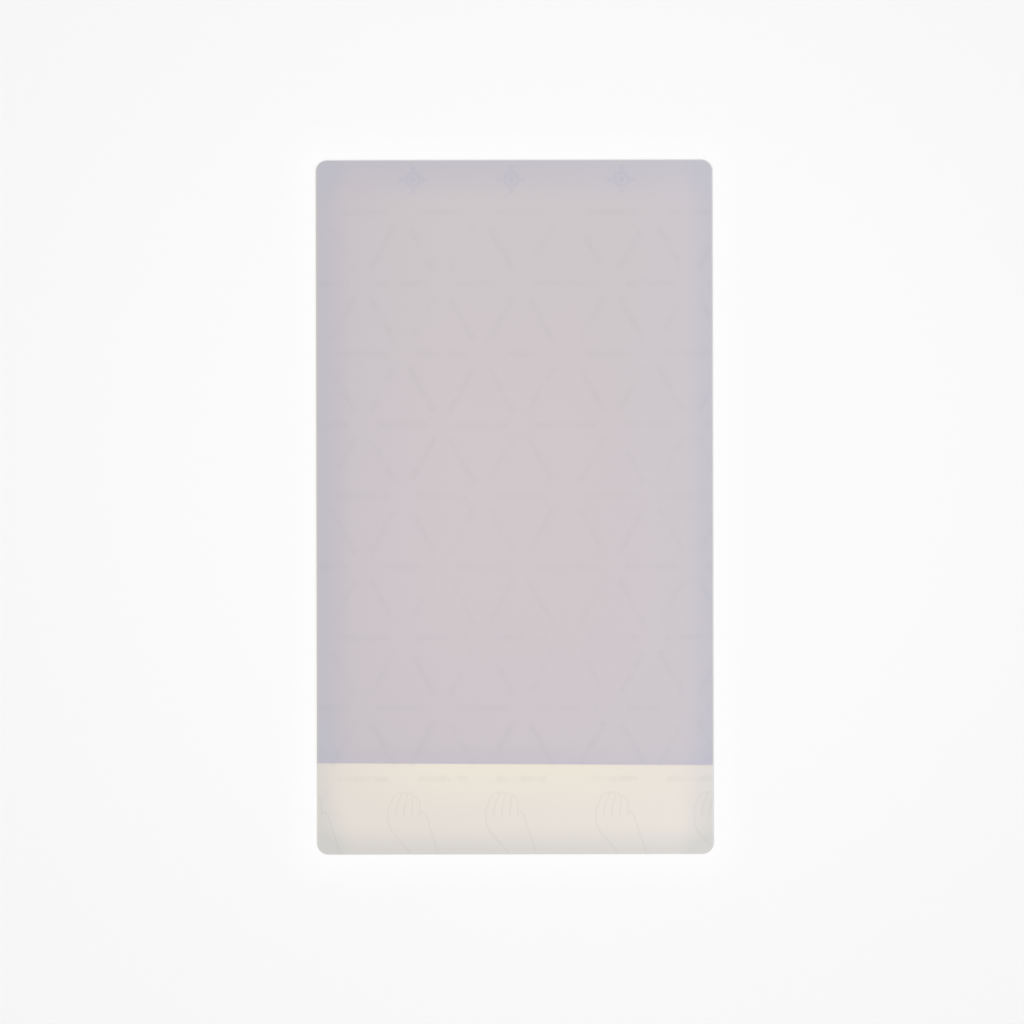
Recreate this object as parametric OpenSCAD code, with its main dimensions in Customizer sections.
// Matte screen protector film on its printed release liner, lying flat with the film side up.
// Origin at the middle of the underside. +Y runs from the grip tab to the far end, +Z is up.
// All sizes are in millimetres and degrees.

/* [Sheet] */
// Width of the release liner
sheet_w = 120; // [90:1:170]
// Length of the release liner, grip tab and all
sheet_l = 210; // [170:1:260]
// Radius of the liner's four corners
corner_r = 3.5; // [1:0.1:8]
// Thickness of the release liner
liner_t = 0.13; // [0.08:0.01:0.3]

/* [Matte film] */
// Thickness of the matte film with its adhesive
film_t = 0.25; // [0.15:0.01:0.5]
// Length of bare liner left as a grip tab, on the middle line
tab_l = 27.3; // [20:0.1:45]
// Skew of the film's lower edge, falling towards +X
film_skew = 0.37; // [0:0.01:1]
// Liner that shows beside the film at -X
margin_left = 0.12; // [0.05:0.01:1]
// Liner that shows beside the film at +X
margin_right = 0.38; // [0.05:0.01:1]
// Liner that shows beyond the film at the far end
margin_far = 0.32; // [0.05:0.01:1]

/* [Lattice of word marks] */
// Distance between two nodes of the lattice along a row
lattice_pitch = 23.9; // [18:0.1:32]
// Distance from one row of the lattice to the next
row_pitch = 21.4; // [17:0.1:28]
// Distance from the far end of the sheet to the first row
first_row = 16; // [12:0.1:25]
// Length of a word mark
word_l = 15; // [11:0.1:17]
// Height of a word mark
word_h = 1.6; // [1:0.1:2.4]
// Length of the short dash in the middle of a word mark
mid_dash_l = 2.4; // [1.5:0.1:4]
// Blank between two dashes of a word mark
dash_gap = 0.7; // [0.4:0.1:1.2]
// Least blank between the last row and the knuckles of the hand signs
row_clear = 1.5; // [0.5:0.1:6]

/* [Print repeat] */
// Place of the seam between two repeats of the print, across the sheet
seam_x = 15.6; // [-30:0.1:30]
// Blank that the seam adds between its two neighbours
seam_gap = 3.6; // [0:0.1:6]
// Bare rim that the print keeps from the edge of the liner
print_margin = 0.5; // [0.3:0.1:2]
// Depth of the ink in the underside of the liner
ink_t = 0.02; // [0.01:0.005:0.03]

/* [Hand signs on the tab] */
// Distance between two hands
hand_pitch = 29.65; // [26:0.05:40]
// Place of the first hand from the seam
hand_phase = -17.6; // [-20:0.1:20]
// Distance from the film's edge down to the highest knuckle
knuckle_drop = 8.5; // [6:0.1:12]
// Lean of the fist, top towards -X
fist_lean = -3; // [-10:1:20]
// Lean of the forearm, hand to elbow, towards +X
arm_lean = 30; // [10:1:40]
// How much more the forearm's left line leans than its right line
arm_taper = 24; // [0:1:30]
// Radius of the bend from the edge of the hand into the forearm
wrist_r = 9; // [5:0.5:14]
// Width of every line of the hands
line_w = 0.4; // [0.25:0.05:0.6]
// Width of a finger, from line to line
finger_pitch = 2.4; // [1.8:0.1:2.8]
// Length of the lines between the fingers
finger_l = 6.2; // [4:0.1:8]
// Bow of the hand's outer line at -X, towards +X with the square of the height over its foot
bow_left = 0.05; // [0:0.01:0.07]
// The same bow at the last finger, and the lines between have a share of each
bow_right = -0.01; // [-0.03:0.01:0.07]
// Rise of each knuckle's arch over the lines beside it
knuckle_h = 0.85; // [0.4:0.05:1.2]
// How fast the knuckles fall away from the highest
knuckle_bow = 0.28; // [0:0.02:0.5]
// Distance down the last finger line to the thumb
thumb_drop = 4.9; // [3:0.1:7]
// Radius of the bend at the thumb
thumb_r = 1.8; // [1:0.1:3]

/* [Targets at the far end] */
// Place of the first target from the seam
target_phase = -14.7; // [-20:0.1:20]
// Blank between the far end of the sheet and a target
target_margin = 2; // [0.6:0.1:4]
// Radius of the target's ring
target_r = 2.4; // [1.4:0.1:3]
// Width of the ring and of its ticks
target_line_w = 0.8; // [0.4:0.1:1]
// Blank between the ring and its ticks
tick_gap = 0.4; // [0.2:0.1:1]
// Length of each of its four ticks
tick_l = 1.2; // [0.6:0.1:1.6]
// Radius of the dot in its middle
dot_r = 0.8; // [0.4:0.1:0.9]

/* [Hidden] */
$fn = 64;

smallest_r = 0.4;
film_w = sheet_w - margin_left - margin_right;
film_x = (margin_left - margin_right) / 2;
film_far_y = sheet_l / 2 - margin_far;
film_edge_y = -sheet_l / 2 + tab_l;

fingers = 4;
// The highest knuckle, counted in finger widths from the -X side of the hand
high_knuckle = 1.4;
knuckle_steps = 5;
finger_steps = 4;
bend_steps = 7;
// The thumb's bend starts nearly level, at this place on its circle
thumb_from = 100;
hand_w = fingers * finger_pitch;
hand_reach = tab_l - knuckle_drop;
arm_l = 2 * hand_reach;
hand_y = -sheet_l / 2 + hand_reach - knuckle_h;
left_lean = arm_lean + arm_taper / 2 - fist_lean;
right_lean = arm_lean - arm_taper / 2 - fist_lean;

row_count = floor((sheet_l - first_row - hand_reach - row_clear) / row_pitch) + 1;
diagonal_lean = atan2(row_pitch, lattice_pitch / 2);
long_dash_l = (word_l - mid_dash_l) / 2 - dash_gap;
long_dash_x = (word_l - long_dash_l) / 2;
columns = ceil((sheet_w / 2 + abs(seam_x)) / lattice_pitch) + 1;
hands_each_way = ceil((sheet_w / 2 + abs(seam_x)) / hand_pitch) + 1;
target_reach = target_r + tick_gap + tick_l;

// Place across the sheet of what would stand x from the middle of a print with no seam
function spread(x) = seam_x + x + sign(x) * seam_gap / 2;

// Row 0 has a node of the lattice on the seam, row 1 has a word mark there, and so on in turn
function node_shift(row) = (row % 2) * lattice_pitch / 2;

function row_y(row) = sheet_l / 2 - first_row - row * row_pitch;

function on_arc(centre, r, a) = centre + r * [cos(a), sin(a)];

// Corner radius of an outline that lies inside the liner's by a margin
function inner_r(margin) = max(corner_r - margin, smallest_r);

// Far end of a forearm line, always off the sheet
function elbow(wrist, lean) = wrist + arm_l * [sin(lean), -cos(lean)];

// Height of the scalloped line over the four knuckles
function knuckle_y(x) =
    let (line = x / finger_pitch + fingers / 2, part = line - floor(line))
        4 * knuckle_h * part * (1 - part) - knuckle_bow * pow(line - high_knuckle, 2);

// A point of the fingers, moved sideways by their bow
function bowed(x, y) =
    let (share = x / hand_w + 0.5, bow = bow_left + (bow_right - bow_left) * share)
        [x + bow * pow(y + finger_l, 2), y];

// A line up the side of a finger, from its foot to the knuckles
function finger_line(x) =
    [for (i = [0:finger_steps]) bowed(x, -finger_l + (knuckle_y(x) + finger_l) * i / finger_steps)];

function reversed(points) = [for (i = [len(points) - 1:-1:0]) points[i]];

// All points but the first
function rest(points) = [for (i = [1:len(points) - 1]) points[i]];

// A flat outline with four round corners
module rounded_sheet(w, l, r) {
    square([w - 2 * r, l], center = true);
    square([w, l - 2 * r], center = true);
    for (sx = [-1, 1], sy = [-1, 1])
        translate([sx * (w / 2 - r), sy * (l / 2 - r)])
            circle(r);
}

module sheet_outline() {
    rounded_sheet(sheet_w, sheet_l, corner_r);
}

// The film reaches the far end and both sides, and stops at a slightly skewed cut across the tab
module film_outline() {
    difference() {
        translate([film_x, film_far_y - sheet_l / 2])
            rounded_sheet(film_w, sheet_l, inner_r(margin_far));
        translate([0, film_edge_y])
            rotate(-film_skew)
                translate([-sheet_w, -sheet_l])
                    square([2 * sheet_w, sheet_l]);
    }
}

// One dash, left out where its middle would be off the sheet
module dash(place, lean, offset_x, l) {
    centre = place + offset_x * [cos(lean), sin(lean)];
    if (abs(centre[0]) < sheet_w / 2 - print_margin)
        translate(centre)
            rotate(lean)
                square([l, word_h], center = true);
}

// A word is only a long, a short and a long dash. stretch widens it over the seam.
module word_mark(place, lean, stretch = 0) {
    dash(place, lean, 0, mid_dash_l + stretch);
    for (side = [-1, 1])
        dash(place, lean, side * (long_dash_x + stretch / 2), long_dash_l);
}

module row_marks(row) {
    for (column = [-columns:columns]) {
        x = column * lattice_pitch + lattice_pitch / 2 - node_shift(row);
        word_mark([spread(x), row_y(row)], 0, x == 0 ? seam_gap : 0);
    }
}

module diagonal_marks(row) {
    for (column = [-columns:columns], side = [-1, 1]) {
        x = column * lattice_pitch + node_shift(row) + side * lattice_pitch / 4;
        word_mark([spread(x), row_y(row) - row_pitch / 2], -side * diagonal_lean);
    }
}

// A word mark on each side of every triangle of the lattice
module lattice_marks() {
    for (row = [0:row_count - 1])
        row_marks(row);
    for (row = [0:row_count - 2])
        diagonal_marks(row);
}

// A drawn line through the points, mitred at its bends
module drawn_line(points) {
    last = len(points) - 1;
    aims = [
        for (i = [0:last])
            let (step = points[min(i + 1, last)] - points[max(i - 1, 0)])
                step / norm(step)
    ];
    left = [for (i = [0:last]) points[i] + line_w / 2 * [-aims[i][1], aims[i][0]]];
    right = [for (i = [last:-1:0]) points[i] - line_w / 2 * [-aims[i][1], aims[i][0]]];
    polygon(concat(left, right));
}

// A closed hand of plain lines: an outline that rises from the forearm, runs over the knuckles and
// comes down the last finger, three lines between the fingers, and the thumb's side of the forearm
module hand_sign() {
    wrist_centre = [-hand_w / 2 + wrist_r, -finger_l];
    bend = [for (i = [bend_steps:-1:0]) on_arc(wrist_centre, wrist_r, 180 + left_lean * i / bend_steps)];
    knuckles = [
        for (i = [0:fingers * knuckle_steps])
            let (x = i * finger_pitch / knuckle_steps - hand_w / 2) bowed(x, knuckle_y(x))
    ];
    up = rest(finger_line(-hand_w / 2));
    down = rest(reversed(finger_line(hand_w / 2)));
    drawn_line(concat([elbow(bend[0], left_lean)], bend, up, rest(knuckles), down));
    for (line = [1:fingers - 1])
        drawn_line(finger_line(line * finger_pitch - hand_w / 2));
    thumb = bowed(hand_w / 2, -thumb_drop);
    thumb_centre = on_arc(thumb, -thumb_r, thumb_from);
    thumb_bend = [
        for (i = [0:bend_steps])
            on_arc(thumb_centre, thumb_r, thumb_from + (right_lean - thumb_from) * i / bend_steps)
    ];
    drawn_line(concat(thumb_bend, [elbow(thumb_bend[bend_steps], right_lean)]));
}

module hand_signs() {
    for (i = [-hands_each_way:hands_each_way]) {
        x = spread(hand_phase + i * hand_pitch);
        if (abs(x) < sheet_w / 2 + hand_w + hand_reach)
            translate([x, hand_y])
                rotate(fist_lean)
                    hand_sign();
    }
}

// A ring, a dot and four ticks, as printers set to line up a repeat
module target() {
    difference() {
        circle(target_r);
        circle(target_r - target_line_w);
    }
    circle(dot_r);
    for (quarter = [0:3])
        rotate(90 * quarter)
            translate([target_r + tick_gap, -target_line_w / 2])
                square([tick_l, target_line_w]);
}

module targets() {
    for (i = [-hands_each_way:hands_each_way]) {
        x = spread(target_phase + i * hand_pitch);
        if (abs(x) + target_reach < sheet_w / 2 - print_margin)
            translate([x, sheet_l / 2 - target_margin - target_reach])
                target();
    }
}

// The whole print, cut off at a bare rim
module print_outline() {
    intersection() {
        rounded_sheet(sheet_w - 2 * print_margin, sheet_l - 2 * print_margin, inner_r(print_margin));
        union() {
            lattice_marks();
            hand_signs();
            targets();
        }
    }
}

module release_liner() {
    color([0.91, 0.88, 0.83])
        difference() {
            linear_extrude(liner_t)
                sheet_outline();
            translate([0, 0, -ink_t])
                linear_extrude(2 * ink_t)
                    print_outline();
        }
}

module matte_film() {
    color([0.81, 0.78, 0.8])
        translate([0, 0, liner_t])
            linear_extrude(film_t)
                film_outline();
}

module liner_print() {
    color([0.55, 0.54, 0.56])
        linear_extrude(ink_t)
            print_outline();
}

release_liner();
matte_film();
liner_print();
